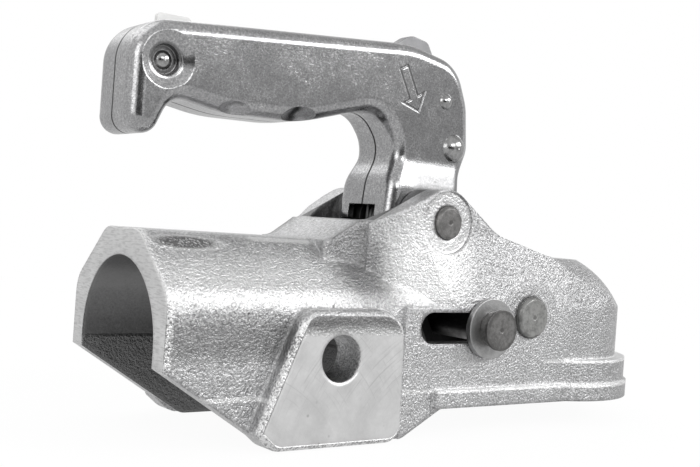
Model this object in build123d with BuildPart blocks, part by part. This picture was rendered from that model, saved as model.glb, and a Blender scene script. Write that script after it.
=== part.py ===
from build123d import *
from math import asin, atan2, cos, degrees, hypot, radians, sin, sqrt
import os

# Trailer coupling head for a 50 mm drawbar tube and a 50 mm towing ball.
# Millimetres. X runs from the drawbar to the ball, Y to the left, Z up.
# The origin is the centre of the drawbar bore at the rear face of the socket.

# Drawbar socket
drawbar_diameter = 50.0
drawbar_clearance = 0.25
socket_length = 75.0
socket_top_wall = 8.15
socket_side_wall = 6.75
socket_top_flat = 11.5
socket_shoulder_height = 15.8
socket_rear_drop = 5.0
skirt_depth = 28.5
skirt_start = 36.7
skirt_end = 85.0
socket_top_end = 62.5
web_thickness = 8.5
shoulder_end = 104.0

# Clamping bosses on both sides of the socket
boss_face_half = 38.0
boss_top = 13.0
boss_front = 82.0
boss_front_lean = 1.0
boss_rear_top = 43.0
boss_rear_bottom = 34.5
boss_toe = 28.0
boss_toe_height = -23.0
boss_root = 3.0
boss_edge_radius = 2.5
bolt_diameter = 14.0
bolt_clearance = 0.25
bolt_x = 55.9
bolt_z = -1.5

# Towing ball and the nose around it
ball_diameter = 50.0
ball_clearance = 0.25
ball_x = 176.0
ball_z = -2.0
nose_wall = 7.85
dome_wall = 11.75
dome_top = 31.4
entry_tilt = 15.0
flange_bottom = -19.3
flange_top = -13.3
flange_start = 98.0
flange_width = 1.6
flange_nose_width = 4.9
lip_top = -4.6
lip_width = 3.8

# Body of the casting
body_half_width = 33.0
body_rear = 84.0
belly_front = 102.0
cowl_start_height = 14.0
cowl_rear = 60.0
cowl_rear_half_width = 18.6
cowl_mid_half_width = 27.0
cowl_wide = 103.0
cowl_bend_radius = 14.0
cheek_half_width = 29.6
cheek_start_height = 38.0
cheek_crest = 54.6
cheek_front = 125.0
cheek_front_height = 38.8
slope_start = 108.0
slope_bend = 134.0
slope_bend_height = 38.6
slope_foot = 152.0
slope_foot_height = 32.4
saddle = 150.0
saddle_height = 32.6
dome_flat_half = 14.0
nose_slope_run = 17.0
nose_slope_height = 13.5
nose_slope_end = 20.1
rim_height = 40.3
rim_rear = 73.0
rim_rear_half_width = 19.6
rim_thickness = 4.0
rim_front = 76.5
rim_lip = 0.6
pocket_front = 130.0
pocket_half_width = 21.0
pocket_floor = 5.0
pocket_taper = 8.0
pocket_taper_step = 0.8
pocket_wall_foot = 27.0
cavity_half_width = 25.5
cavity_ceiling = 12.0
hub_ceiling = 20.8
ear_ceiling = 26.2
jaw_bay_rear = 129.0
jaw_bay_front = 160.0

# Handle pivot
pivot_x = 102.5
pivot_z = 41.7
pivot_diameter = 11.0
pivot_face_half = 29.0
pivot_face_radius = 10.5
cheek_boss_radius = 11.0
pivot_pin_proud = 1.5
pin_clearance = 0.05

# Ball jaw and its pivot
jaw_pin_x = 141.0
jaw_pin_z = 10.8
jaw_pin_diameter = 14.3
jaw_pin_pad_radius = 13.0
jaw_pin_proud = 2.0
pin_chamfer = 0.8
jaw_half_width = 20.0
jaw_ear_radius = 11.5
jaw_ear_inner = 13.0
jaw_hub_radius = 9.5
jaw_plate_rear = 144.5
jaw_plate_front = 157.0
jaw_plate_top = 13.5
jaw_lip = -17.0
jaw_running_gap = 0.3

# Lock pin, its slots and the locking block
lock_pin_diameter = 10.0
lock_pin_x = 120.4
lock_pin_z = 7.0
lock_travel = 24.4
slot_clearance = 0.2
lock_head_thickness = 3.4
lock_neck_length = 1.1
lock_collar_radius = 6.0
lock_face_radius = 6.9
lock_face_thickness = 1.1
washer_diameter = 20.5
washer_thickness = 2.0
side_gap = 0.3
block_half_width = 5.6
block_rear = 7.5
block_front = 10.0
block_top = 15.0
block_bottom = -9.0
block_head_half = 11.0
block_head_length = 9.0
block_head_top = 2.6

# Handle
handle_half = 12.5
foot_half = 15.0
flare_top = 62.0
flare_bottom = 53.0
flare_radius = 12.0
sheet = 2.5
seam_gap = 0.4
handle_edge_radius = 4.5
foot_open_height = 41.5
foot_open_length = 38.0
foot_open_shift = 2.0
foot_notch_half = 7.5
foot_notch_height = 46.3
foot_notch_gap = 7.0

# Finger dents along the lower edges of the grip, and the arrow pressed in the neck
finger_dents = [(28.7, 61.6), (53.3, 62.8)]
finger_dent_reach = 20.0
finger_dent_radius = 14.4
arrow_x = 96.5
arrow_z = 86.5
arrow_length = 17.0
arrow_head = 12.0
arrow_shaft = 4.6
arrow_angle = -62.0
arrow_line = 0.9
arrow_depth = 0.35

# Levers inside the handle
lever_thickness = 4.0
lever_gap = 0.1
lever_boss_radius = 10.5
lever_tip_radius = 3.9
fork_play = 0.95
fork_reach = 5.2
fork_arm = 3.6
lever_washer_radius = 9.0
spacer_radius = 7.0
washer_gap = 0.05

# Torsion springs on the pivot and on the catch rivet
spring_wire = 1.6
coil_gap = 0.15
handle_spring_near = 0.9
handle_spring_radius = 8.3
handle_spring_turns = 1.956
handle_spring_start = 160.0
handle_spring_leg = 18.0
catch_spring_wire = 0.9
catch_spring_near = 3.0
catch_spring_radius = 4.2
catch_spring_turns = 2.44
catch_spring_start = 20.0
catch_spring_first_leg = 9.0
catch_spring_last_leg = 10.0

# Rivets of the handle, their seats and the sleeves on them
grip_rivet_x = 5.0
grip_rivet_z = 82.9
grip_rivet_radius = 2.4
grip_head_radius = 2.85
grip_head_height = 1.5
seat_end = 6.0
seat_radius = 6.8
sleeve_radius = 4.0
dimple_radius = 8.6
dimple_floor_radius = 5.5
dimple_slope = 1.6
dimple_depth = 3.8
dimple_hole_margin = 1.5
neck_rivet_x = 117.6
neck_rivet_z = 68.2
neck_rivet_radius = 3.0
neck_head_radius = 5.0
neck_head_height = 2.8
neck_sleeve_radius = 4.2
catch_rivet_x = 112.5
catch_rivet_z = 84.2
catch_rivet_radius = 2.2
catch_head_radius = 2.8
catch_head_height = 1.6
catch_sleeve_radius = 3.25

# Safety catch and the plug in the seam
catch_half = 2.0
catch_slot_clearance = 0.4
catch_slot_rear = 89.9
catch_slot_front = 118.5
catch_slot_floor = 90.0
plug_rear = 6.0
plug_front = 17.4
plug_top = 98.2
plug_half = 0.8
plug_height = 10.0
plug_slot_floor = 91.0
plug_corner_radius = 1.2

# A length past every form, and the overlap of forms that join or cut
far = 80.0
overlap = 1.0

socket_radius = drawbar_diameter / 2 + drawbar_clearance
socket_half_width = socket_radius + socket_side_wall
socket_top = socket_radius + socket_top_wall
web_front = socket_length + web_thickness
cup_radius = ball_diameter / 2 + ball_clearance
nose_radius = cup_radius + nose_wall
dome_radius = cup_radius + dome_wall
pivot_radius = pivot_diameter / 2
jaw_pin_radius = jaw_pin_diameter / 2
lock_radius = lock_pin_diameter / 2
washer_outer = body_half_width + side_gap + washer_thickness
head_inner = washer_outer + lock_neck_length
jaw_bay_half = jaw_half_width + 2 * side_gap
dimple_hole_radius = grip_head_radius + dimple_hole_margin
shell_inner = handle_half - sheet
lever_outer = shell_inner - lever_gap
lever_inner = lever_outer - lever_thickness
foot_inner = foot_half - sheet


def draw(corners):
    """A closed outline from corners given as (x, y, corner radius)."""
    with BuildLine() as line:
        FilletPolyline(*[(c[0], c[1]) for c in corners], radius=[c[2] for c in corners], close=True)
    make_face(line.edges())


def both_sides(half):
    """The corners of a right half, and the same corners on the left."""
    return half + [(-c[0], c[1], c[2]) for c in reversed(half)]


def cross_bar(x, z, radius, half_length, mode=Mode.ADD):
    """A round bar or hole across the coupling, centred on the middle plane."""
    with BuildSketch(Plane.XZ) as disc:
        with Locations((x, z)):
            Circle(radius)
    extrude(disc.sketch, amount=half_length, both=True, mode=mode)


def ring_pair(x, z, outer_radius, inner_radius, near, away):
    """Two equal rings round a cross pin, one on each side of the middle plane."""
    for start in (near, -away):
        with BuildSketch(Plane.XZ.offset(start)) as ring:
            with Locations((x, z)):
                Circle(outer_radius)
                Circle(inner_radius, mode=Mode.SUBTRACT)
        extrude(ring.sketch, amount=away - near)


def rivet(x, z, shank_radius, head_radius, head_height, face_half):
    """A cross rivet with a domed head on each face."""
    dome = (head_radius**2 + head_height**2) / (2 * head_height)
    half_angle = asin(head_radius / dome) / 2
    mid_radius = dome * sin(half_angle)
    mid_height = face_half + head_height - dome * (1 - cos(half_angle))
    tip = face_half + head_height
    with BuildPart() as body:
        with BuildSketch(Plane(origin=(x, 0, z))) as half:
            with BuildLine() as line:
                Polyline((0, tip), (0, -tip))
                ThreePointArc((0, -tip), (mid_radius, -mid_height), (head_radius, -face_half))
                Polyline(
                    (head_radius, -face_half), (shank_radius, -face_half),
                    (shank_radius, face_half), (head_radius, face_half),
                )
                ThreePointArc((head_radius, face_half), (mid_radius, mid_height), (0, tip))
            make_face(line.edges())
        revolve(half.sketch, axis=Axis((x, 0, z), (0, 1, 0)))
    return body.part


def finish(part, name):
    """Label a finished piece and write its file."""
    part.label = name
    export_step(part, f"parts/{name}.step")


os.makedirs("parts", exist_ok=True)

# Coupling housing: the shank around the drawbar
with BuildPart() as shank:
    with BuildSketch(Plane.YZ):
        draw(both_sides([
            (socket_top_flat, socket_top, 9.0),
            (socket_half_width, socket_shoulder_height, 10.0),
            (socket_half_width, -skirt_depth - overlap, 0),
        ]))
    extrude(amount=shoulder_end)

# Coupling housing: the cowl that holds the handle, drawn from above, from the end and from the side
with BuildPart() as cowl:
    with BuildSketch(Plane.XY.offset(-far)):
        draw([
            (cowl_rear, -cowl_rear_half_width, 0),
            (cowl_rear, cowl_rear_half_width, 0),
            (rim_rear, rim_rear_half_width, 7.0),
            (body_rear, cowl_mid_half_width, 12.0),
            (cowl_wide, body_half_width, 40.0),
            (ball_x, body_half_width, 0),
            (ball_x, -body_half_width, 0),
            (cowl_wide, -body_half_width, 40.0),
            (body_rear, -cowl_mid_half_width, 12.0),
            (rim_rear, -rim_rear_half_width, 7.0),
        ])
        with Locations((ball_x, 0)):
            Circle(nose_radius)
    extrude(amount=2 * far)
    with BuildSketch(Plane.YZ):
        draw(both_sides([
            (cheek_half_width, far, 0),
            (cheek_half_width, cheek_start_height, cowl_bend_radius),
            (body_half_width, cowl_start_height, cowl_bend_radius),
            (body_half_width, -far, 0),
        ]))
    extrude(amount=ball_x + far, mode=Mode.INTERSECT)
    # The front of the cowl slopes down beside the dome
    with BuildSketch(Plane.XZ):
        draw([
            (slope_start, far, 0),
            (slope_bend, slope_bend_height, 0),
            (slope_foot, slope_foot_height, 12.0),
            (ball_x + nose_slope_run, nose_slope_height, 0),
            (ball_x + nose_slope_end, -far, 0),
            (ball_x + far, -far, 0),
            (ball_x + far, far, 0),
        ])
    extrude(amount=far, both=True, mode=Mode.SUBTRACT)

# Coupling housing: the straight walls of the body below the cowl
with BuildPart() as body:
    with Locations(((body_rear + ball_x) / 2, 0, (cowl_start_height - skirt_depth) / 2)):
        Box(ball_x - body_rear, 2 * body_half_width, cowl_start_height + skirt_depth)

# Coupling housing: the nose round the ball, a cylinder under a flat-topped dome
shoulder = ball_z + sqrt(dome_radius**2 - nose_radius**2)
crown = sqrt(dome_radius**2 - (dome_top - ball_z) ** 2)
mid_angle = (atan2(shoulder - ball_z, nose_radius) + atan2(dome_top - ball_z, crown)) / 2
with BuildPart() as nose:
    with BuildSketch(Plane.XZ):
        with BuildLine():
            Polyline(
                (ball_x + crown, dome_top), (ball_x, dome_top), (ball_x, flange_bottom),
                (ball_x + nose_radius, flange_bottom), (ball_x + nose_radius, shoulder),
            )
            ThreePointArc(
                (ball_x + nose_radius, shoulder),
                (ball_x + dome_radius * cos(mid_angle), ball_z + dome_radius * sin(mid_angle)),
                (ball_x + crown, dome_top),
            )
        make_face()
    revolve(axis=Axis((ball_x, 0, 0), (0, 0, 1)))

with BuildPart() as bosses:
    with BuildSketch(Plane.XZ.offset(socket_radius + boss_root)):
        draw([
            (boss_rear_bottom, -skirt_depth, 7.0),
            (boss_front, -skirt_depth, 6.0),
            (boss_front - boss_front_lean, boss_top, 10.0),
            (boss_rear_top, boss_top, 6.0),
            (boss_toe, boss_toe_height, 2.0),
        ])
    extrude(amount=boss_face_half - socket_radius - boss_root)
    fillet(bosses.faces().sort_by(Axis.Y)[0].edges(), radius=boss_edge_radius)
    mirror(about=Plane.XZ)

side_profile = [
    (0, socket_top, 0),
    (socket_top_end, socket_top, 9.0),
    (rim_rear, rim_height, 2.0),
    (rim_front, rim_height, 8.0),
    (pivot_x, cheek_crest, 11.0),
    (cheek_front, cheek_front_height, 20.0),
    (saddle, saddle_height, 20.0),
    (ball_x - dome_flat_half, dome_top, 0),
    (ball_x + far, dome_top, 0),
    (ball_x + far, flange_bottom, 0),
    (belly_front, flange_bottom, 8.0),
    (skirt_end, -skirt_depth, 6.0),
    (skirt_start, -skirt_depth, 6.0),
    (0, -socket_rear_drop, 0),
]

with BuildPart() as coupling_housing:
    add(shank.part)
    add(cowl.part)
    add(body.part)
    add(nose.part)
    with BuildSketch(Plane.XZ):
        draw(side_profile)
    extrude(amount=far, both=True, mode=Mode.INTERSECT)
    add(bosses.part)
    cross_bar(jaw_pin_x, jaw_pin_z, jaw_pin_pad_radius, body_half_width)
    # Flange and lip round the mouth
    with BuildSketch(Plane.XY.offset(flange_bottom)):
        with Locations(((flange_start + ball_x) / 2, 0)):
            Rectangle(ball_x - flange_start, 2 * (body_half_width + flange_width))
        with Locations((ball_x, 0)):
            Circle(nose_radius + flange_nose_width)
    extrude(amount=flange_top - flange_bottom)
    with BuildSketch(Plane.XY.offset(flange_top)):
        with Locations((ball_x, 0)):
            Circle(nose_radius + lip_width)
    extrude(amount=lip_top - flange_top)
    # Drawbar bore, open below
    with BuildSketch(Plane.YZ.offset(-overlap)):
        Circle(socket_radius)
        with Locations((0, -far / 2)):
            Rectangle(2 * socket_radius, far)
    extrude(amount=socket_length + overlap, mode=Mode.SUBTRACT)
    # Mechanism bay and jaw bay, open below
    with BuildSketch(Plane.YZ.offset(web_front)):
        draw(both_sides([(cavity_half_width, -far, 0), (cavity_half_width, cavity_ceiling, 5.0)]))
    extrude(amount=jaw_bay_front - web_front, mode=Mode.SUBTRACT)
    with BuildSketch(Plane.YZ.offset(jaw_bay_rear)):
        draw(both_sides([(cavity_half_width, -far, 0), (cavity_half_width, hub_ceiling, 0.8)]))
        draw(both_sides([(jaw_bay_half, -far, 0), (jaw_bay_half, ear_ceiling, 4.0)]))
    extrude(amount=jaw_bay_front - jaw_bay_rear, mode=Mode.SUBTRACT)
    # Handle pocket, drawn from above, with a sloping rear wall
    pocket_rear = rim_rear + rim_thickness
    with BuildSketch(Plane.XY.offset(pocket_floor)):
        draw([
            (pocket_rear, rim_rear_half_width - rim_thickness, 3.0),
            (pocket_rear + pocket_taper, pocket_half_width - pocket_taper_step, 6.0),
            (pocket_rear + 2 * pocket_taper, pocket_half_width, 6.0),
            (pocket_front, pocket_half_width, 5.0),
            (pocket_front, -pocket_half_width, 5.0),
            (pocket_rear + 2 * pocket_taper, -pocket_half_width, 6.0),
            (pocket_rear + pocket_taper, -pocket_half_width + pocket_taper_step, 6.0),
            (pocket_rear, -rim_rear_half_width + rim_thickness, 3.0),
        ])
    extrude(amount=far, mode=Mode.SUBTRACT)
    with BuildSketch(Plane.XZ):
        draw([
            (rim_rear + rim_thickness / 2, rim_height - rim_lip, 0),
            (pocket_rear, rim_height - rim_lip, 0),
            (web_front, pocket_wall_foot, 4.0),
            (web_front, 0, 0),
            (rim_rear + rim_thickness / 2, 0, 0),
        ])
    extrude(amount=pocket_half_width + overlap, both=True)
    with BuildSketch(Plane.YZ.offset(-overlap)):
        Circle(socket_radius)
    extrude(amount=socket_length + overlap, mode=Mode.SUBTRACT)
    # Ball cup: the ball enters from below and from slightly behind
    with Locations((ball_x, 0, ball_z)):
        Sphere(cup_radius, mode=Mode.SUBTRACT)
    entry = (-sin(radians(entry_tilt)), 0, -cos(radians(entry_tilt)))
    with BuildSketch(Plane(origin=(ball_x, 0, ball_z), z_dir=entry)):
        Circle(cup_radius)
    extrude(amount=far, mode=Mode.SUBTRACT)
    # Slots for the lock pin
    with BuildSketch(Plane.XZ):
        with Locations((lock_pin_x - lock_travel / 2, lock_pin_z)):
            SlotCenterToCenter(lock_travel + 2 * slot_clearance, lock_pin_diameter + 2 * slot_clearance)
    extrude(amount=far, both=True, mode=Mode.SUBTRACT)
    # Cast bosses inside the cheeks, then the cross holes and the flat faces round the handle pivot
    ring_pair(
        pivot_x, pivot_z, cheek_boss_radius, pivot_radius, foot_half + side_gap,
        pocket_half_width + overlap,
    )
    cross_bar(bolt_x, bolt_z, bolt_diameter / 2 + bolt_clearance, far, mode=Mode.SUBTRACT)
    cross_bar(pivot_x, pivot_z, pivot_radius + pin_clearance, far, mode=Mode.SUBTRACT)
    cross_bar(jaw_pin_x, jaw_pin_z, jaw_pin_radius + pin_clearance, far, mode=Mode.SUBTRACT)
    for turn in (0, 180):
        with Locations(Location((pivot_x, 0, pivot_z), (90 + turn, 0, 0))):
            with Locations((0, 0, pivot_face_half)):
                Cylinder(
                    pivot_face_radius, far, align=(Align.CENTER, Align.CENTER, Align.MIN),
                    mode=Mode.SUBTRACT,
                )
finish(coupling_housing.part, "coupling_housing")

# Cross pins fixed in the casting
with BuildPart() as handle_pivot_pin:
    cross_bar(pivot_x, pivot_z, pivot_radius, pivot_face_half + pivot_pin_proud)
    chamfer(handle_pivot_pin.edges().filter_by(GeomType.CIRCLE), length=pin_chamfer)
finish(handle_pivot_pin.part, "handle_pivot_pin")

with BuildPart() as jaw_pivot_pin:
    cross_bar(jaw_pin_x, jaw_pin_z, jaw_pin_radius, body_half_width + jaw_pin_proud)
    chamfer(jaw_pivot_pin.edges().filter_by(GeomType.CIRCLE), length=pin_chamfer)
finish(jaw_pivot_pin.part, "jaw_pivot_pin")

# Handle: side outline from the end of the grip down to the foot and round the neck
handle_outline = [
    (-5.9, 94.0, 13.0),
    (-5.9, 60.6, 5.2),
    (2.8, 61.2, 5.2),
    (8.2, 73.0, 7.0),
    (26.0, 69.8, 60.0),
    (54.0, 70.3, 60.0),
    (84.5, 78.8, 11.0),
    (94.2, 66.0, 11.0),
    (89.0, 55.0, 15.0),
    (87.6, 42.0, 6.0),
    (92.0, 29.8, 9.0),
    (116.0, 29.2, 11.0),
    (121.8, 57.0, 12.0),
    (126.0, 68.0, 10.0),
    (124.4, 84.0, 20.0),
    (118.4, 98.2, 14.0),
    (97.0, 102.4, 40.0),
]


def handle_form(inset):
    """The closed form of the handle, made smaller all round by the inset."""
    with BuildPart() as form:
        with BuildSketch(Plane.XZ) as side:
            draw(handle_outline)
            if inset > 0:
                offset(amount=-inset, mode=Mode.REPLACE)
        extrude(side.sketch, amount=foot_half, both=True)
        with BuildSketch(Plane.YZ.offset(-far)) as section:
            draw(both_sides([
                (handle_half - inset, 2 * far, 0),
                (handle_half - inset, flare_top, flare_radius),
                (foot_half - inset, flare_bottom, flare_radius),
                (foot_half - inset, 0, 0),
            ]))
        extrude(section.sketch, amount=4 * far, mode=Mode.INTERSECT)
        rim = form.edges().filter_by(Axis.X, reverse=True).filter_by(Axis.Y, reverse=True)
        fillet(rim, radius=handle_edge_radius - inset)
        for x, z in finger_dents:
            with Locations((x, -finger_dent_reach, z), (x, finger_dent_reach, z)):
                Sphere(finger_dent_radius + inset, mode=Mode.SUBTRACT)
    return form.part


with BuildPart() as handle_shell_right:
    add(handle_form(0))
    add(handle_form(sheet), mode=Mode.SUBTRACT)
    # Rivet seat behind the dimple in the grip
    with Locations(Location((grip_rivet_x, -seat_end, grip_rivet_z), (90, 0, 0))):
        Cylinder(
            seat_radius, shell_inner - seat_end + overlap,
            align=(Align.CENTER, Align.CENTER, Align.MIN),
        )
    # Half of the handle, up to the seam
    with Locations((pivot_x, far - seam_gap / 2, pivot_z)):
        Box(4 * far, 2 * far, 4 * far, mode=Mode.SUBTRACT)
    # Dimple round the grip rivet
    with BuildSketch(Plane(origin=(grip_rivet_x, 0, grip_rivet_z))) as dish:
        draw([
            (0, -far, 0),
            (dimple_radius, -far, 0),
            (dimple_radius, -handle_half, 0),
            (dimple_floor_radius, dimple_slope - handle_half, 1.5),
            (dimple_hole_radius, dimple_slope - handle_half, 0.8),
            (dimple_hole_radius, dimple_depth - handle_half, 0),
            (0, dimple_depth - handle_half, 0),
        ])
    revolve(
        dish.sketch, axis=Axis((grip_rivet_x, 0, grip_rivet_z), (0, 1, 0)), mode=Mode.SUBTRACT,
    )
    # Arrow pressed in the side, as a line all round its outline
    with BuildSketch(Plane.XZ.offset(handle_half - arrow_depth)) as mark:
        with BuildSketch(mode=Mode.PRIVATE) as arrow:
            with BuildLine():
                Polyline(
                    (-arrow_length / 2, -arrow_shaft / 2),
                    (arrow_length / 2 - arrow_head / 2, -arrow_shaft / 2),
                    (arrow_length / 2 - arrow_head / 2, -arrow_head / 2),
                    (arrow_length / 2, 0),
                    (arrow_length / 2 - arrow_head / 2, arrow_head / 2),
                    (arrow_length / 2 - arrow_head / 2, arrow_shaft / 2),
                    (-arrow_length / 2, arrow_shaft / 2),
                    close=True,
                )
            make_face()
            offset(amount=-arrow_line, kind=Kind.INTERSECTION, mode=Mode.SUBTRACT)
        with Locations((arrow_x, arrow_z)):
            add(arrow.sketch, rotation=arrow_angle)
    extrude(mark.sketch, amount=1, mode=Mode.SUBTRACT)
    # Openings for the levers, the safety catch and the plug
    with Locations((pivot_x + foot_open_shift, 0, foot_open_height - far / 2)):
        Box(foot_open_length, 2 * foot_inner, far, mode=Mode.SUBTRACT)
    with Locations((pivot_x - foot_notch_gap - far / 2, 0, foot_notch_height - far / 2)):
        Box(far, 2 * foot_notch_half, far, mode=Mode.SUBTRACT)
    with Locations(((catch_slot_rear + catch_slot_front) / 2, 0, catch_slot_floor + far / 2)):
        Box(
            catch_slot_front - catch_slot_rear, 2 * (catch_half + catch_slot_clearance), far,
            mode=Mode.SUBTRACT,
        )
    with Locations(((plug_rear + plug_front) / 2, 0, plug_slot_floor + far / 2)):
        Box(
            plug_front - plug_rear + slot_clearance, 2 * (plug_half + pin_clearance), far,
            mode=Mode.SUBTRACT,
        )
    # Rivet and pivot holes
    cross_bar(grip_rivet_x, grip_rivet_z, grip_rivet_radius + pin_clearance, far, mode=Mode.SUBTRACT)
    cross_bar(neck_rivet_x, neck_rivet_z, neck_rivet_radius + pin_clearance, far, mode=Mode.SUBTRACT)
    cross_bar(catch_rivet_x, catch_rivet_z, catch_rivet_radius + pin_clearance, far, mode=Mode.SUBTRACT)
    cross_bar(pivot_x, pivot_z, pivot_radius + pin_clearance, far, mode=Mode.SUBTRACT)
finish(handle_shell_right.part, "handle_shell_right")

with BuildPart() as handle_shell_left:
    mirror(handle_shell_right.part, about=Plane.XZ)
finish(handle_shell_left.part, "handle_shell_left")

# Rivets of the handle and the sleeves on them
grip_rivet = rivet(
    grip_rivet_x, grip_rivet_z, grip_rivet_radius, grip_head_radius, grip_head_height,
    handle_half - dimple_depth,
)
finish(grip_rivet, "grip_rivet")

neck_rivet = rivet(
    neck_rivet_x, neck_rivet_z, neck_rivet_radius, neck_head_radius, neck_head_height, handle_half,
)
finish(neck_rivet, "neck_rivet")

catch_rivet = rivet(
    catch_rivet_x, catch_rivet_z, catch_rivet_radius, catch_head_radius, catch_head_height, handle_half,
)
finish(catch_rivet, "catch_rivet")

with BuildPart() as grip_sleeve:
    cross_bar(grip_rivet_x, grip_rivet_z, sleeve_radius, seat_end - washer_gap)
    cross_bar(grip_rivet_x, grip_rivet_z, grip_rivet_radius + pin_clearance, far, mode=Mode.SUBTRACT)
finish(grip_sleeve.part, "grip_sleeve")

with BuildPart() as neck_sleeve:
    cross_bar(neck_rivet_x, neck_rivet_z, neck_sleeve_radius, lever_inner - washer_gap)
    cross_bar(neck_rivet_x, neck_rivet_z, neck_rivet_radius + pin_clearance, far, mode=Mode.SUBTRACT)
finish(neck_sleeve.part, "neck_sleeve")

with BuildPart() as catch_sleeves:
    ring_pair(
        catch_rivet_x, catch_rivet_z, catch_sleeve_radius, catch_rivet_radius + pin_clearance,
        catch_half + washer_gap, shell_inner - washer_gap,
    )
finish(catch_sleeves.part, "catch_sleeves")

# Lever plates: from the neck rivet round the pivot to a fork over the lock pin
lever_drop = pivot_z - lock_pin_z
lever_angle = degrees(atan2(lock_pin_x - pivot_x, lever_drop))
fork_slot_half = lock_radius + fork_play
fork_outer = fork_slot_half + fork_arm
fork_end = hypot(lock_pin_x - pivot_x, lever_drop) + fork_reach

with BuildPart() as drive_lever_right:
    with BuildSketch(Plane.XZ.offset(lever_inner)) as plate:
        with BuildSketch(mode=Mode.PRIVATE) as arm:
            with Locations((neck_rivet_x - pivot_x, neck_rivet_z - pivot_z)):
                Circle(lever_tip_radius)
            Circle(lever_boss_radius)
            make_hull()
        with BuildSketch(mode=Mode.PRIVATE) as fork:
            Circle(lever_boss_radius)
            with Locations((0, -fork_end + overlap)):
                Rectangle(2 * fork_outer, 2 * overlap)
            make_hull()
            with Locations((0, -fork_end)):
                SlotCenterToCenter(
                    2 * (fork_end - lever_drop + slot_clearance), 2 * fork_slot_half,
                    rotation=90, mode=Mode.SUBTRACT,
                )
        with Locations((pivot_x, pivot_z)):
            add(arm.sketch)
            add(fork.sketch, rotation=lever_angle)
            Circle(pivot_radius + pin_clearance, mode=Mode.SUBTRACT)
        with Locations((neck_rivet_x, neck_rivet_z)):
            Circle(neck_rivet_radius + pin_clearance, mode=Mode.SUBTRACT)
    extrude(plate.sketch, amount=lever_thickness)
finish(drive_lever_right.part, "drive_lever_right")

with BuildPart() as drive_lever_left:
    mirror(drive_lever_right.part, about=Plane.XZ)
finish(drive_lever_left.part, "drive_lever_left")

with BuildPart() as lever_sleeve:
    cross_bar(pivot_x, pivot_z, spacer_radius, lever_inner - washer_gap)
    cross_bar(pivot_x, pivot_z, pivot_radius + pin_clearance, far, mode=Mode.SUBTRACT)
finish(lever_sleeve.part, "lever_sleeve")

with BuildPart() as lever_washers:
    ring_pair(
        pivot_x, pivot_z, lever_washer_radius, pivot_radius + pin_clearance,
        lever_outer + washer_gap, foot_inner - washer_gap,
    )
finish(lever_washers.part, "lever_washers")


def torsion_spring(x, z, near, coil_radius, wire_radius, turns, start_angle, first_leg, last_leg):
    """A coil round a cross pin with one straight leg at each end."""
    pitch = 2 * wire_radius + coil_gap
    start = radians(start_angle)
    seat = Plane(origin=(x, near, z), x_dir=(cos(start), 0, sin(start)), z_dir=(0, 1, 0))
    with BuildPart() as spring:
        with BuildLine() as coil:
            Helix(pitch=pitch, height=pitch * turns, radius=coil_radius)
        path = coil.line.edges()[0]
        for place, length in ((0, -first_leg), (1, last_leg)):
            spot = path.position_at(place)
            way = path.tangent_at(place)
            with BuildSketch(Plane(origin=spot, z_dir=way)) as wire:
                Circle(wire_radius)
            if place == 0:
                sweep(wire.sketch, path=path)
            extrude(wire.sketch, amount=length)
    return seat.location * spring.part


leg_start_x = pivot_x + handle_spring_radius * cos(radians(handle_spring_start))
leg_reach = leg_start_x - web_front - spring_wire / 2 - slot_clearance
handle_spring = torsion_spring(
    pivot_x, pivot_z, handle_spring_near, handle_spring_radius, spring_wire / 2, handle_spring_turns,
    handle_spring_start, leg_reach / sin(radians(handle_spring_start)), handle_spring_leg,
)
finish(handle_spring, "handle_spring")

catch_spring = torsion_spring(
    catch_rivet_x, catch_rivet_z, catch_spring_near, catch_spring_radius, catch_spring_wire / 2,
    catch_spring_turns, catch_spring_start, catch_spring_first_leg, catch_spring_last_leg,
)
finish(catch_spring, "catch_spring")

# Safety catch between the two shells: side outline from its rear end over the top and down to the tail
catch_outline = [
    (92.5, 100.2, 1.0),
    (103.0, 107.2, 6.0),
    (111.0, 105.8, 3.0),
    (116.0, 97.5, 4.0),
    (118.2, 84.0, 5.0),
    (113.0, 77.0, 4.0),
    (108.5, 62.0, 2.4),
    (103.0, 62.0, 2.4),
    (106.8, 79.0, 8.0),
    (104.5, 96.0, 4.0),
]

with BuildPart() as safety_catch:
    with BuildSketch(Plane.XZ) as plate:
        draw(catch_outline)
        with Locations((catch_rivet_x, catch_rivet_z)):
            Circle(catch_rivet_radius + pin_clearance, mode=Mode.SUBTRACT)
    extrude(plate.sketch, amount=catch_half, both=True)
finish(safety_catch.part, "safety_catch")

with BuildPart() as seam_plug:
    with Locations(((plug_rear + plug_front) / 2, 0, plug_top - plug_height / 2)):
        Box(plug_front - plug_rear, 2 * plug_half, plug_height)
    fillet(seam_plug.edges().filter_by(Axis.Y).group_by(Axis.Z)[-1], radius=plug_corner_radius)
finish(seam_plug.part, "seam_plug")

# Lock pin with a washer and a head on each side, and the block it carries
with BuildPart() as lock_pin:
    cross_bar(lock_pin_x, lock_pin_z, lock_radius, head_inner + lock_head_thickness)
    ring_pair(
        lock_pin_x, lock_pin_z, lock_collar_radius, lock_radius - overlap, washer_outer + washer_gap,
        head_inner + lock_head_thickness - lock_face_thickness,
    )
    ring_pair(
        lock_pin_x, lock_pin_z, lock_face_radius, lock_radius - overlap,
        head_inner + lock_head_thickness - lock_face_thickness, head_inner + lock_head_thickness,
    )
finish(lock_pin.part, "lock_pin")

with BuildPart() as lock_washers:
    ring_pair(
        lock_pin_x, lock_pin_z, washer_diameter / 2, lock_radius + pin_clearance,
        body_half_width + side_gap, washer_outer,
    )
finish(lock_washers.part, "lock_washers")

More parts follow.
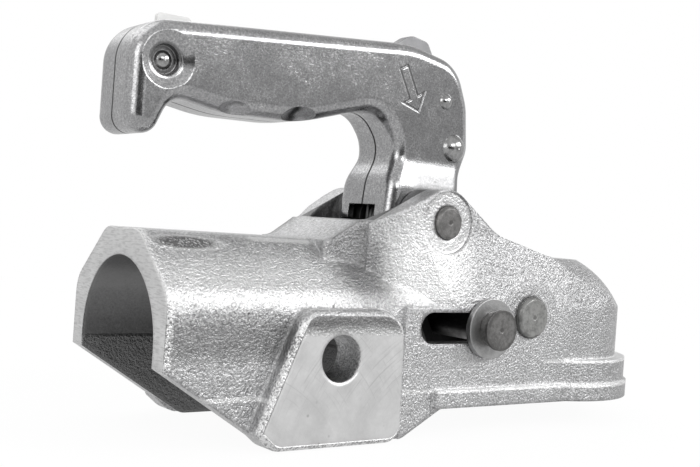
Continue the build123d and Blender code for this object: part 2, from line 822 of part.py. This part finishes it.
with BuildPart() as lock_block:
    with BuildSketch(Plane.XZ) as slab:
        draw([
            (lock_pin_x - block_rear, block_bottom, 1.5),
            (jaw_plate_rear - jaw_running_gap, block_bottom, 1.0),
            (jaw_plate_rear - jaw_running_gap, block_head_top, 1.0),
            (lock_pin_x + block_front, block_head_top, 2.0),
            (lock_pin_x + block_front, block_top, 3.0),
            (lock_pin_x - block_rear, block_top, 5.0),
        ])
    extrude(slab.sketch, amount=block_half_width, both=True)
    with BuildSketch(Plane.XZ) as head:
        draw([
            (jaw_plate_rear - jaw_running_gap - block_head_length, block_bottom, 1.5),
            (jaw_plate_rear - jaw_running_gap, block_bottom, 1.0),
            (jaw_plate_rear - jaw_running_gap, block_head_top, 1.0),
            (jaw_plate_rear - jaw_running_gap - block_head_length, block_head_top, 1.5),
        ])
    extrude(head.sketch, amount=block_head_half, both=True)
    cross_bar(lock_pin_x, lock_pin_z, lock_radius + pin_clearance, far, mode=Mode.SUBTRACT)
finish(lock_block.part, "lock_block")

# Jaw that closes behind the ball
with BuildPart() as ball_jaw:
    with BuildSketch(Plane.XZ) as side:
        with Locations((jaw_pin_x, jaw_pin_z)):
            Circle(jaw_ear_radius)
        with Locations(((jaw_plate_rear + jaw_plate_front) / 2, (jaw_lip + jaw_plate_top) / 2)):
            Rectangle(jaw_plate_front - jaw_plate_rear, jaw_plate_top - jaw_lip)
        make_hull()
    extrude(side.sketch, amount=jaw_half_width, both=True)
    with Locations((jaw_plate_rear - far / 2, 0, 0)):
        Box(far, 2 * jaw_ear_inner, 2 * far, mode=Mode.SUBTRACT)
    ring_pair(
        jaw_pin_x, jaw_pin_z, jaw_hub_radius, jaw_pin_radius, jaw_ear_inner + overlap,
        cavity_half_width - side_gap,
    )
    with Locations((ball_x, 0, ball_z)):
        Sphere(cup_radius + pin_clearance, mode=Mode.SUBTRACT)
    cross_bar(jaw_pin_x, jaw_pin_z, jaw_pin_radius + pin_clearance, far, mode=Mode.SUBTRACT)
finish(ball_jaw.part, "ball_jaw")
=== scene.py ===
import math

import bpy
from mathutils import Matrix, Vector


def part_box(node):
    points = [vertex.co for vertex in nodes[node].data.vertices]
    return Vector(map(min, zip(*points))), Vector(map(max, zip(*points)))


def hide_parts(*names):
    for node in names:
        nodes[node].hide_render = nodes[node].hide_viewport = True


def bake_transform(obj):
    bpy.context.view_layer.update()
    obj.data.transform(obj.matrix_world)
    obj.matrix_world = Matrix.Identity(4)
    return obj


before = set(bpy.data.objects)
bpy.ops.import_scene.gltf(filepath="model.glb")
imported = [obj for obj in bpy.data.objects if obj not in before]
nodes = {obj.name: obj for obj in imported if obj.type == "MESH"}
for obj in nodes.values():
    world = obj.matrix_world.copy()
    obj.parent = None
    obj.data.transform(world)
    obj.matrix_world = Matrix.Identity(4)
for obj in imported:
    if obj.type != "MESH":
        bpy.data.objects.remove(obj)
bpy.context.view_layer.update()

MM = 0.001

# Places on the coupling head in metres, along X and up Z
HANDLE_PIVOT = (0.1025, 0.0417)
JAW_PIVOT = (0.1410, 0.0108)
LOCK_PIN = (0.1204, 0.0070)
GRIP_RIVET = (0.0050, 0.0829)
ARROW = (0.0965, 0.0865)
BULGE_HIGHLIGHT_CENTRE = (0.096, 0.026)
MILLING_CENTRES = ((0.110, -0.050), (0.020, -0.045))

# The centre of the ball's cup
CUP_CENTRE = (0.176, 0.0, -0.002)

# A rough scar on the socket's right shoulder, along X and across Y
SCAR = (0.013, -0.0152)
SCAR_SIZE = (0.011, 0.0022)

# Where faces of the casting lie, in metres: along X from the socket's rear end
REAR_EDGE_WIDTH = 0.0022
SOCKET_END = 0.076
BOSS_RIM_FRONT = 0.083
BOSS_FRONT = 0.090
POCKET_REAR = 0.0773
POCKET_FRONT = 0.1302
BAY_REAR = 0.0834
BAY_FRONT = 0.1605
RIM_REAR = 0.150
NOSE_REAR = 0.160
CREST_REAR = 0.036
CREST_FRONT = 0.059
# Out from the middle plane
BOSS_FACE = 0.038
BOSS_RIM = 0.036
PIVOT_FACE = 0.029
FLANGE_SIDE = 0.031
BAY_SIDE = 0.0257
POCKET_SIDE = 0.0212
CREST_INNER = 0.0113
CREST_OUTER = 0.0134
# And up Z
BAY_TOP = 0.0265
BOSS_CLEAN_TOP = 0.011
BOSS_RIM_TOP = 0.010
BOSS_FOOT = -0.016
BORE_FLOOR = -0.002
FLANGE_LEDGE = (-0.0143, -0.0129)
FLANGE_LIP = (-0.0056, -0.0042)
CREST_FOOT = 0.031
SHOULDER_FOOT = 0.026
NOSE_TOP = 0.029
# Radii
DRAWBAR_RADIUS = 0.02525
CUP_RADIUS = 0.0256
PIVOT_FACE_RADIUS = 0.0104

# Where painted shade darkens the casting: a band along the socket's side, and up the rear of the cowl
SHADED_BAND_Z = (0.003, 0.015)
SHADED_BAND_FRONT = 0.054
SHADED_BAND_SIDE = 0.027
SHADED_RISE_X = (0.076, 0.095)
SHADED_RISE_FOOT = 0.015
SHADED_RISE_SIDE = 0.017
# And where a painted highlight brightens it: the socket's shoulder and the bulge of the cowl
SHOULDER_HIGHLIGHT_Z = (0.018, 0.031)
SHOULDER_HIGHLIGHT_FRONT = 0.060
SHOULDER_HIGHLIGHT_SIDE = 0.015
BULGE_HIGHLIGHT_RADIUS = 0.015
BULGE_HIGHLIGHT_FOOT = 0.015
BULGE_HIGHLIGHT_SIDE = 0.024

# Places on the handle, in metres
ARROW_FACE = 0.0123
ARROW_REACH = 0.012
DIMPLE_GROOVE = (0.0030, 0.0052)
DIMPLE_SIDE = 0.007
FOOT_TOP = 0.063
FOOT_REAR = 0.098
SEAM_HALF = 0.00042

# The studio
MIDDLE = Vector((0.09, 0.0, 0.03))
FLOOR_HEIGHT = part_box("coupling_housing")[0].z
FLOOR_GAP = 0.2 * MM


def grey(tone):
    return (tone, tone, tone)


def opaque(tone):
    return (tone, tone, tone, 1)


class Field:
    """A number, colour, vector or shader that varies over a surface: one output socket in a node tree."""

    def __init__(self, owner, socket):
        self.owner = owner
        self.socket = socket

    def output(self, name):
        """Another output of the same node."""
        return Field(self.owner, self.socket.node.outputs[name])

    def math(self, operation, *values, clamp=False):
        settings = {"operation": operation, "use_clamp": clamp}
        return self.owner.node("ShaderNodeMath", settings, values)

    def __add__(self, other):
        return self.math("ADD", self, other)

    def __radd__(self, other):
        return self.math("ADD", other, self)

    def __sub__(self, other):
        return self.math("SUBTRACT", self, other)

    def __rsub__(self, other):
        return self.math("SUBTRACT", other, self)

    def __mul__(self, other):
        return self.math("MULTIPLY", self, other)

    def __rmul__(self, other):
        return self.math("MULTIPLY", other, self)

    def __truediv__(self, other):
        return self.math("DIVIDE", self, other)

    def __rtruediv__(self, other):
        return self.math("DIVIDE", other, self)

    def __abs__(self):
        return self.math("ABSOLUTE", self)

    def sine(self):
        return self.math("SINE", self)

    def root(self):
        return self.math("SQRT", self)

    def larger(self, other):
        return self.math("MAXIMUM", self, other)

    def smaller(self, other):
        return self.math("MINIMUM", self, other)

    def clamped(self):
        return self.math("ADD", self, 0.0, clamp=True)

    def above(self, level, softness):
        """0 below the level and 1 above it, with a step as wide as the softness."""
        return ((self - level) / softness + 0.5).clamped()

    def below(self, level, softness):
        return 1 - self.above(level, softness)

    def between(self, low, high, softness):
        return self.above(low, softness) * self.below(high, softness)


class Tree:
    """A node tree that is made node by node, up to the shader that it shows."""

    def __init__(self, tree, end):
        self.tree = tree
        tree.nodes.clear()
        self.end = tree.nodes.new(end)

    def node(self, kind, settings=None, values=(), output=0):
        """Adds a node: its settings first, then its sockets, by order or by name."""
        made = self.tree.nodes.new(kind)
        for key, setting in (settings or {}).items():
            setattr(made, key, setting)
        self.fill(made, values)
        return Field(self, made.outputs[output])

    def fill(self, made, values):
        """Links fields to a node's sockets, or sets them to plain values."""
        pairs = values.items() if isinstance(values, dict) else enumerate(values)
        for key, value in pairs:
            if isinstance(value, Field):
                self.tree.links.new(value.socket, made.inputs[key])
            else:
                made.inputs[key].default_value = value

    def mix(self, factor, low, high):
        """From one shader to another by a factor."""
        return self.node("ShaderNodeMixShader", None, [factor, low, high])

    def show(self, shader):
        self.tree.links.new(shader.socket, self.end.inputs["Surface"])

    def to_the_camera(self):
        """1 for what the camera sees, also through something clear."""
        rays = self.node("ShaderNodeLightPath")
        return (rays.output("Is Camera Ray") + rays.output("Is Transmission Ray")).clamped()


class Finish(Tree):
    """One material with a principled surface."""

    def __init__(self, name, metallic=1.0, roughness=0.3, specular=0.5):
        self.material = bpy.data.materials.new(name)
        self.material.use_nodes = True
        super().__init__(self.material.node_tree, "ShaderNodeOutputMaterial")
        values = {"Metallic": metallic, "Roughness": roughness, "Specular IOR Level": specular}
        self.surface = self.node("ShaderNodeBsdfPrincipled", None, values)
        self.show(self.surface)

    def set(self, **values):
        named = {name.replace("_", " ").title(): value for name, value in values.items()}
        self.fill(self.surface.socket.node, named)

    def blend(self, factor, low, high):
        """From one colour to another by a factor."""
        low = low if isinstance(low, Field) else (*low, 1)
        high = high if isinstance(high, Field) else (*high, 1)
        settings = {"data_type": "RGBA", "clamp_factor": True}
        return self.node("ShaderNodeMix", settings, {0: factor, 6: low, 7: high}, output=2)

    def place(self):
        """Where the point is on the part, in metres."""
        return self.node("ShaderNodeTexCoord", output="Object")

    def axes(self, vector):
        split = self.node("ShaderNodeSeparateXYZ", None, [vector])
        return [split.output(axis) for axis in "XYZ"]

    def stretched(self, vector, scale, turn=(0, 0, 0)):
        return self.node("ShaderNodeMapping", None, {"Vector": vector, "Rotation": turn, "Scale": scale})

    def noise(self, vector, size, detail=3.0, roughness=0.55):
        """Cloudy noise whose lumps are about the given size in metres."""
        values = {"Vector": vector, "Scale": 1 / size, "Detail": detail, "Roughness": roughness}
        return self.node("ShaderNodeTexNoise", None, values)

    def cells(self, vector, size):
        """Distance to the nearest of many scattered points, in cells of about the given size in metres."""
        return self.node("ShaderNodeTexVoronoi", None, {"Vector": vector, "Scale": 1 / size})

    def radius_about(self, x, z, centre):
        """Distance from an axis that runs across the coupling."""
        across = x - centre[0]
        up = z - centre[1]
        return (across * across + up * up).root()

    def relief(self, height, depth, strength=1.0, edge=None):
        """Bump from a height field; edge is the radius that corners look rounded to."""
        values = {"Strength": strength, "Distance": depth, "Height": height}
        if edge:
            values["Normal"] = self.node("ShaderNodeBevel", {"samples": 8}, {"Radius": edge})
        self.set(normal=self.node("ShaderNodeBump", None, values))


def zinc_casting():
    """Zinc-plated rough casting, with machined faces on the bosses and at the rear end of the socket."""
    finish = Finish("zinc_casting")
    place = finish.place()
    x, y, z = finish.axes(place)
    side = abs(y)
    coarse = finish.noise(place, 2.2 * MM, detail=2.0, roughness=0.5)
    grain = finish.noise(place, 0.75 * MM, detail=2.0, roughness=0.6)
    fine = finish.noise(place, 0.35 * MM, detail=2.0)
    patches = finish.noise(place, 22 * MM, detail=4.0, roughness=0.6)
    smudges = finish.noise(place, 9 * MM, detail=5.0, roughness=0.7)
    pits = finish.cells(place, 3.4 * MM).below(0.12, 0.1) * patches.above(0.58, 0.06)

    # Machined faces: the lower part of the bosses, the spot faces round the pivot and the rear end of the socket
    boss = side.above(BOSS_FACE - 0.15 * MM, 0.1 * MM) * x.below(BOSS_FRONT, 1 * MM)
    clean = (z + grain * 4 * MM + smudges * 3 * MM).below(BOSS_CLEAN_TOP, 4 * MM)
    boss_milled = boss * clean
    pivot_ring = finish.radius_about(x, z, HANDLE_PIVOT).below(PIVOT_FACE_RADIUS, 0.2 * MM)
    pivot_face = pivot_ring * side.between(PIVOT_FACE - 0.2 * MM, PIVOT_FACE + 0.1 * MM, 0.1 * MM)
    rear_face = x.below(0.1 * MM, 0.1 * MM)
    bore = finish.radius_about(y, z.larger(0), (0.0, 0.0)).below(DRAWBAR_RADIUS + 0.2 * MM, 0.1 * MM)
    inside = bore * x.above(0.3 * MM, 0.2 * MM) * x.below(SOCKET_END, 1 * MM)
    bored = inside * z.above(BORE_FLOOR, 1 * MM)
    machined = boss_milled.larger(rear_face).larger(pivot_face * 0.35)

    # The bay inside, the pocket under the handle and the cup get painted shade and a rougher surface
    bay = side.below(BAY_SIDE, 0.2 * MM) * z.below(BAY_TOP, 0.3 * MM)
    bay = bay * x.above(BAY_REAR, 0.2 * MM) * x.below(BAY_FRONT, 0.5 * MM)
    pocket = side.below(POCKET_SIDE, 0.2 * MM) * x.between(POCKET_REAR, POCKET_FRONT, 0.3 * MM)
    from_cup = finish.node("ShaderNodeVectorMath", {"operation": "DISTANCE"}, [place, CUP_CENTRE], output=1)
    shaded_recesses = bay.larger(pocket).larger(from_cup.below(CUP_RADIUS, 0.2 * MM))

    # Worn bright edges round the socket and the bosses, and painted highlights along the flange and on the
    # socket's crest
    rear_edge = x.below(REAR_EDGE_WIDTH, 1.2 * MM) * x.above(0.2 * MM, 0.2 * MM) * (1 - inside)
    boss_edge = side.above(BOSS_RIM, 0.8 * MM) * (1 - boss)
    boss_edge = boss_edge * x.below(BOSS_RIM_FRONT, 1 * MM) * z.below(BOSS_RIM_TOP, 2 * MM)
    ledge_highlight = z.between(*FLANGE_LEDGE, 0.4 * MM) * side.above(FLANGE_SIDE, 1 * MM)
    lip_highlight = z.between(*FLANGE_LIP, 0.4 * MM) * x.above(RIM_REAR, 4 * MM)
    crest_highlight = side.above(CREST_INNER, 0.4 * MM) * side.below(CREST_OUTER, 0.8 * MM)
    crest_highlight = crest_highlight * x.above(CREST_REAR, 3 * MM) * x.below(CREST_FRONT, 2 * MM) * z.above(CREST_FOOT, 0.5 * MM)
    worn = (rear_edge.larger(boss_edge) * (grain + smudges * 0.4).above(0.68, 0.14)).clamped()
    # Besides the wear, this mask carries the painted highlights on the flange's ledge and lip and on the crest
    worn = worn.larger((ledge_highlight.larger(lip_highlight) * (1 - boss) * 0.75).larger(crest_highlight * 0.9))

    # Milling arcs on the bosses and saw streaks on the rear face
    arcs = []
    for centre in MILLING_CENTRES:
        radius = finish.radius_about(x, z, centre)
        sweep = finish.node("ShaderNodeCombineXYZ", None, [radius, x * 0.04, z * 0.04])
        arcs.append(finish.noise(sweep, 0.8 * MM, detail=4.0, roughness=0.75))
    streaks = finish.noise(finish.stretched(place, (1, 0.12, 1)), 0.5 * MM, detail=2.0)
    marks = boss_milled * (arcs[0] + arcs[1]) * 0.8 + rear_face * streaks * 0.9

    rough_height = coarse * 0.42 + grain * 0.62 + fine * 0.2 - pits * 0.3
    height = rough_height * (1 - machined * 0.97) * (1 - bored * 0.85) + marks * 0.06
    finish.relief(height, depth=0.75 * MM, strength=1.0, edge=2.0 * MM)

    plating = (grain * 1.5 + coarse * 0.3 + patches * 0.3 - 0.52).clamped()
    tone = finish.blend(plating, (0.18, 0.18, 0.185), (0.82, 0.82, 0.825))

    # Painted shade along the socket below its shoulder and up the cowl, and a little darker on the nose
    wander = smudges * 7 * MM + grain * 3 * MM
    ragged_z = z + wander
    shaded_band = ragged_z.above(SHADED_BAND_Z[0], 5 * MM) * ragged_z.below(SHADED_BAND_Z[1], 6 * MM)
    shaded_band = shaded_band * x.below(SHADED_BAND_FRONT, 8 * MM) * side.above(SHADED_BAND_SIDE, 3 * MM)
    leaning_x = x + z * 0.35 + wander
    shaded_rise = leaning_x.above(SHADED_RISE_X[0], 9 * MM) * leaning_x.below(SHADED_RISE_X[1], 7 * MM)
    shaded_rise = shaded_rise * z.above(SHADED_RISE_FOOT, 6 * MM) * side.above(SHADED_RISE_SIDE, 3 * MM)
    nose = x.above(NOSE_REAR, 10 * MM) * z.below(NOSE_TOP, 4 * MM)
    painted_shade = shaded_band.larger(shaded_rise).larger(nose * 0.2)
    tone = finish.blend(painted_shade * 0.62, tone, grey(0.16))

    # Painted highlight along the shoulder and on the bulge of the cowl
    shoulder_highlight = ragged_z.above(SHOULDER_HIGHLIGHT_Z[0], 4 * MM) * ragged_z.below(SHOULDER_HIGHLIGHT_Z[1], 8 * MM)
    shoulder_highlight = shoulder_highlight * x.below(SHOULDER_HIGHLIGHT_FRONT, 16 * MM) * side.above(SHOULDER_HIGHLIGHT_SIDE, 4 * MM)
    bulge_highlight = finish.radius_about(x, z, BULGE_HIGHLIGHT_CENTRE).below(BULGE_HIGHLIGHT_RADIUS, 12 * MM)
    bulge_highlight = bulge_highlight * z.above(BULGE_HIGHLIGHT_FOOT, 4 * MM) * side.above(BULGE_HIGHLIGHT_SIDE, 2 * MM)
    tone = finish.blend(shoulder_highlight.larger(bulge_highlight) * (0.35 + grain * 0.6), tone, grey(0.97))

    # A rough dark scar on the right shoulder near the rear end, with a bright rim
    along = (x - SCAR[0]) / SCAR_SIZE[0]
    across = (y - SCAR[1]) / SCAR_SIZE[1]
    spread = (along * along + across * across).root() + grain * 0.5
    on_top = z.above(SHOULDER_FOOT, 1 * MM)
    tone = finish.blend(spread.below(1.5, 0.2) * on_top * 0.5, tone, grey(0.9))
    tone = finish.blend(spread.below(1.15, 0.3) * on_top * grain.above(0.42, 0.16) * 0.8, tone, grey(0.05))

    # Milled metal, with its cuts and streaks, and the upper part of the bosses, which stays dark
    milled = finish.blend(smudges.above(0.5, 0.4), grey(0.66), grey(0.82))
    cuts = arcs[0].above(0.62, 0.15).larger(arcs[1].above(0.64, 0.15)) * z.above(BOSS_FOOT, 16 * MM)
    milled = finish.blend(cuts * boss * 0.4, milled, grey(0.36))
    milled = finish.blend(rear_face * streaks.above(0.55, 0.15) * 0.35, milled, grey(0.35))
    tone = finish.blend(machined, tone, milled)
    tone = finish.blend(boss * (1 - clean) * 0.9, tone, grey(0.17))

    # Worn edges, and the painted highlights on the flange and the crest
    tone = finish.blend(worn, tone, grey(0.86))
    # Painted shade inside the socket's bore, and in the bay, the pocket and the cup
    tone = finish.blend(inside * 0.85, tone, grey(0.15))
    tone = finish.blend(shaded_recesses * 0.75, tone, grey(0.10))
    tone = finish.blend(pits * 0.35, tone, grey(0.15))
    roughness = 0.20 + grain * 0.16 + patches * 0.10
    roughness = roughness * (1 - machined) + machined * (0.40 + smudges * 0.10)
    roughness = roughness + inside * 0.22 + shaded_recesses * 0.2
    finish.set(base_color=tone, roughness=roughness.clamped())
    return finish.material


def plated_sheet():
    """Shiny zinc-plated pressed sheet, with fine scratches, drawing lines and knocks."""
    finish = Finish("plated_sheet")
    place = finish.place()
    x, y, z = finish.axes(place)
    side = abs(y)
    patches = finish.noise(place, 16 * MM, detail=4.0, roughness=0.6)
    cloud = finish.noise(place, 4 * MM, detail=4.0, roughness=0.7)
    fine = finish.noise(place, 0.5 * MM, detail=2.0)
    mottle = finish.noise(place, 0.6 * MM, detail=3.0, roughness=0.8)
    lines = finish.noise(finish.stretched(place, (0.12, 1, 1)), 0.7 * MM, detail=2.0)
    slanted = finish.stretched(place, (0.14, 1, 1), turn=(0, 0.35, 0))
    worn = patches.above(0.54, 0.1) * cloud.above(0.5, 0.2)
    scratches = finish.noise(slanted, 0.45 * MM, detail=3.0, roughness=0.7).above(0.66, 0.1) * worn
    nicks = finish.cells(place, 7 * MM).below(0.08, 0.05) * worn
    rub = finish.noise(place, 0.9 * MM, detail=4.0, roughness=0.8).above(0.56, 0.1) * patches.above(0.5, 0.15)

    height = cloud * 0.25 + fine * 0.12 + lines * 0.06 - scratches * 0.05 - nicks * 0.3
    finish.relief(height, depth=0.22 * MM, strength=0.7, edge=0.6 * MM)

    plating = cloud * 0.3 + mottle.above(0.5, 0.35) * 0.7
    tone = finish.blend(plating, (0.22, 0.22, 0.225), (0.54, 0.54, 0.545))
    tone = finish.blend(rub * 0.5, tone, grey(0.72))
    tone = finish.blend(scratches * 0.35, tone, grey(0.70))
    tone = finish.blend(nicks * 0.5, tone, grey(0.12))

    # Dark: the seam between the shells and the pressed arrow; painted shade in the groove round the grip rivet
    # and on the neck's foot
    seam = side.below(SEAM_HALF, 0.2 * MM)
    tone = finish.blend(seam * 0.9, tone, grey(0.02))
    pressed = side.below(ARROW_FACE + 0.02 * MM, 0.06 * MM) * side.above(ARROW_FACE - 0.4 * MM, 0.1 * MM)
    pressed = pressed * finish.radius_about(x, z, ARROW).below(ARROW_REACH, 1 * MM)
    tone = finish.blend(pressed * 0.6, tone, grey(0.10))
    ring = finish.radius_about(x, z, GRIP_RIVET)
    groove_shade = ring.above(DIMPLE_GROOVE[0], 0.6 * MM) * ring.below(DIMPLE_GROOVE[1], 0.8 * MM)
    groove_shade = groove_shade * side.above(DIMPLE_SIDE, 1 * MM)
    tone = finish.blend(groove_shade * 0.7, tone, grey(0.08))
    foot_shade = (z + cloud * 3 * MM).below(FOOT_TOP, 9 * MM) * x.above(FOOT_REAR, 7 * MM)
    tone = finish.blend(foot_shade * 0.55, tone, grey(0.10))
    roughness = 0.12 + patches * 0.1 + cloud * 0.06 + scratches * 0.15 + foot_shade * 0.16
    finish.set(base_color=tone, roughness=roughness.clamped())
    return finish.material


def turned_steel(name, tone, roughness, centres, rim=None, stain=0.6):
    """Round steel with turning rings on its end faces, stains, a centre mark and a darker rim."""
    finish = Finish(name)
    place = finish.place()
    x, y, z = finish.axes(place)
    radius = finish.radius_about(x, z, centres[0])
    for centre in centres[1:]:
        radius = radius.smaller(finish.radius_about(x, z, centre))
    ring_pitch = 0.45 * MM
    rings = (radius * (2 * math.pi / ring_pitch)).sine()
    cloud = finish.noise(place, 2.4 * MM, detail=5.0, roughness=0.7)
    fine = finish.noise(place, 0.4 * MM, detail=2.0)
    spots = cloud.above(0.52, 0.2)
    punch = (radius + fine * 0.5 * MM).below(1.1 * MM, 0.4 * MM)
    height = rings * 0.06 + cloud * 0.9 + fine * 0.3 - punch * 1.5
    finish.relief(height, depth=0.18 * MM, strength=0.7, edge=0.5 * MM)

    dark = tuple(part * 0.35 for part in tone)
    shade = finish.blend(spots * stain + fine * 0.25, tone, dark)
    shade = finish.blend(punch * 0.7, shade, dark)
    if rim:
        edge = (radius + cloud * 1.2 * MM).above(rim, 1.0 * MM)
        shade = finish.blend(edge * 0.6, shade, dark)
    # Between the walls the pins get painted shade
    walled_shade = abs(y).below(PIVOT_FACE, 1 * MM)
    shade = finish.blend(walled_shade * 0.8, shade, grey(0.03))
    finish.set(base_color=shade, roughness=(roughness + cloud * 0.14 + spots * 0.1).clamped())
    return finish.material


def stamped_steel(name, tone, roughness, grime=0.5):
    """Plain cold-rolled plate, wire or bar, with grime in patches."""
    finish = Finish(name)
    place = finish.place()
    cloud = finish.noise(place, 5 * MM, detail=5.0, roughness=0.7)
    fine = finish.noise(place, 0.6 * MM, detail=2.0)
    rolled = finish.noise(finish.stretched(place, (0.15, 1, 1)), 0.5 * MM, detail=1.0)
    finish.relief(cloud * 0.4 + fine * 0.3 + rolled * 0.2, depth=0.15 * MM, strength=0.6, edge=0.5 * MM)
    dark = tuple(part * 0.45 for part in tone)
    shade = finish.blend(cloud.above(0.5, 0.3) * grime, tone, dark)
    finish.set(base_color=shade, roughness=(roughness + cloud * 0.2).clamped())
    return finish.material


def bright_steel(name):
    """Polished rivet heads, which mirror the dark and the bright of the room."""
    finish = Finish(name)
    place = finish.place()
    cloud = finish.noise(place, 2.0 * MM, detail=4.0, roughness=0.7)
    fine = finish.noise(place, 0.5 * MM, detail=2.0)
    finish.relief(cloud * 0.5 + fine * 0.2, depth=0.12 * MM, strength=0.6)
    shade = finish.blend(cloud.above(0.5, 0.4), grey(0.46), grey(0.24))
    finish.set(base_color=shade, roughness=(0.10 + cloud * 0.12).clamped())
    return finish.material


def pale_plastic(name):
    """Pale moulded plastic, a little uneven."""
    finish = Finish(name, metallic=0.0, specular=0.4)
    cloud = finish.noise(finish.place(), 3 * MM, detail=3.0)
    finish.relief(cloud, depth=0.05 * MM, strength=0.4, edge=0.3 * MM)
    shade = finish.blend(cloud, (0.66, 0.66, 0.655), (0.80, 0.80, 0.79))
    finish.set(base_color=shade, roughness=(0.42 + cloud * 0.1).clamped())
    return finish.material


finishes = {
    "zinc_casting": zinc_casting(),
    "plated_sheet": plated_sheet(),
    "dark_pin": turned_steel("dark_pin", (0.30, 0.295, 0.29), 0.26, [LOCK_PIN, HANDLE_PIVOT], rim=6.4 * MM),
    "pale_pin": turned_steel("pale_pin", (0.46, 0.46, 0.45), 0.26, [JAW_PIVOT], rim=7.0 * MM),
    "washer_steel": turned_steel("washer_steel", grey(0.52), 0.28, [LOCK_PIN], stain=0.3),
    "bright_rivet": bright_steel("bright_rivet"),
    "inner_steel": stamped_steel("inner_steel", grey(0.10), 0.45),
    "spring_wire": stamped_steel("spring_wire", grey(0.14), 0.34),
    "catch_plate": stamped_steel("catch_plate", (0.26, 0.26, 0.265), 0.36, grime=0.3),
    "jaw_casting": stamped_steel("jaw_casting", grey(0.34), 0.42),
    "plug_plastic": pale_plastic("plug_plastic"),
}

for node in nodes.values():
    for slot in node.material_slots:
        slot.material = finishes[slot.material.name.split(".")[0]]


def bending_spring():
    """A copy of the handle spring as an object of its own, standing in for the CAD spring, which is hidden."""
    cad_spring = nodes["handle_spring"]
    mesh = cad_spring.data.copy()
    mesh.transform(cad_spring.matrix_world)
    spring = bpy.data.objects.new("bending_spring", mesh)
    bpy.context.scene.collection.objects.link(spring)
    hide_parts("handle_spring")
    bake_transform(spring)


bending_spring()


def aim(thing, centre, front):
    """Stands a lamp or a card at its place, with the axis of its front towards the middle of the part."""
    thing.location = centre
    thing.rotation_euler = (MIDDLE - Vector(centre)).to_track_quat(front, "Y").to_euler()


def softbox(name, centre, width, height, strength):
    """A soft rectangular lamp; its strength is in watts."""
    lamp = bpy.data.lights.new(name, "AREA")
    lamp.shape = "RECTANGLE"
    lamp.size = width
    lamp.size_y = height
    lamp.energy = strength
    holder = bpy.data.objects.new(name, lamp)
    aim(holder, centre, "-Z")
    bpy.context.scene.collection.objects.link(holder)


softbox("top_softbox", (-0.35, 0.30, 1.00), 0.9, 0.8, 2.2)
softbox("left_softbox", (-0.95, -0.50, 0.45), 0.5, 0.6, 1.8)
softbox("back_softbox", (0.10, 0.95, 0.75), 1.0, 0.4, 1.2)
softbox("right_softbox", (0.80, -0.76, 0.59), 0.8, 0.32, 5.2)
softbox("rear_right_softbox", (0.02, -1.10, 0.56), 0.5, 0.3, 2.2)


def floor():
    """A pale floor: white to the camera but for a faint shadow, grey in the metal, and clear from beneath."""
    bpy.ops.mesh.primitive_plane_add(size=6.0, location=(0.1, 0.0, FLOOR_HEIGHT - FLOOR_GAP))
    plane = bpy.context.object
    plane.name = "floor"
    finish = Finish("floor", metallic=0.0, roughness=0.9, specular=0.1)
    finish.set(base_color=opaque(0.9))
    white = finish.node("ShaderNodeEmission", None, {"Color": opaque(1), "Strength": 1.0})
    in_metal = finish.node("ShaderNodeEmission", None, {"Color": opaque(0.74), "Strength": 1.0})
    clear = finish.node("ShaderNodeBsdfTransparent")
    # The shadow shows through the white only near the part
    x, y, z = finish.axes(finish.place())
    far_off = finish.radius_about(x, y, (0.0, 0.0)).above(0.42, 0.40)
    whiteness_near = 0.955
    whiteness = whiteness_near + far_off * (1 - whiteness_near)
    shown = finish.mix(finish.to_the_camera() * whiteness, finish.surface, white)
    shown = finish.mix(finish.node("ShaderNodeLightPath", output="Is Glossy Ray"), shown, in_metal)
    shown = finish.mix(finish.node("ShaderNodeNewGeometry", output="Backfacing"), shown, clear)
    finish.show(shown)
    plane.data.materials.append(finish.material)


floor()


def white_world():
    """White behind the part, and a softer light on its surfaces and in its reflections."""
    world = bpy.data.worlds.new("studio")
    bpy.context.scene.world = world
    world.use_nodes = True
    studio = Tree(world.node_tree, "ShaderNodeOutputWorld")
    light = studio.node("ShaderNodeBackground", None, {"Color": opaque(1), "Strength": 0.8})
    white = studio.node("ShaderNodeBackground", None, {"Color": opaque(1), "Strength": 1.0})
    studio.show(studio.mix(studio.to_the_camera(), light, white))


white_world()


def card(name, centre, width, height, tone):
    """A grey card beside the lamps, which only the metal sees."""
    bpy.ops.mesh.primitive_plane_add(size=1.0)
    plane = bpy.context.object
    plane.name = name
    plane.scale = (width, height, 1)
    aim(plane, centre, "Z")
    plane.visible_camera = False
    plane.visible_diffuse = False
    plane.visible_shadow = False
    finish = Finish(name, metallic=0.0, roughness=1.0, specular=0.0)
    finish.set(base_color=opaque(0), emission_color=opaque(tone), emission_strength=1.0)
    plane.data.materials.append(finish.material)


card("side_card", (1.05, -1.30, 0.20), 1.3, 0.50, tone=0.42)
card("low_card", (-0.38, -1.28, 0.10), 1.05, 0.75, tone=0.04)
card("rear_card", (-0.95, 1.15, 0.10), 1.0, 0.9, tone=0.74)
card("high_card", (0.85, 0.12, 1.00), 0.9, 0.9, tone=0.60)

# Camera: the photograph's eye, from behind and to the right of the coupling
eye = Vector((-0.130185, -0.287957, 0.03807))
rightward = Vector((0.8009, -0.5947, 0.0704))
downward = Vector((0.0527, -0.0470, -0.9975))
forward = Vector((0.5966, 0.8026, -0.0063))
lens = bpy.data.cameras.new("camera")
lens.lens = 53.6
lens.sensor_width = 36.0
lens.clip_start = 0.01
camera = bpy.data.objects.new("camera", lens)
turn = Matrix((rightward, -downward, -forward)).transposed().to_4x4()
camera.matrix_world = Matrix.Translation(eye) @ turn
bpy.context.scene.collection.objects.link(camera)
bpy.context.scene.camera = camera

bpy.context.scene.view_settings.view_transform = "Standard"
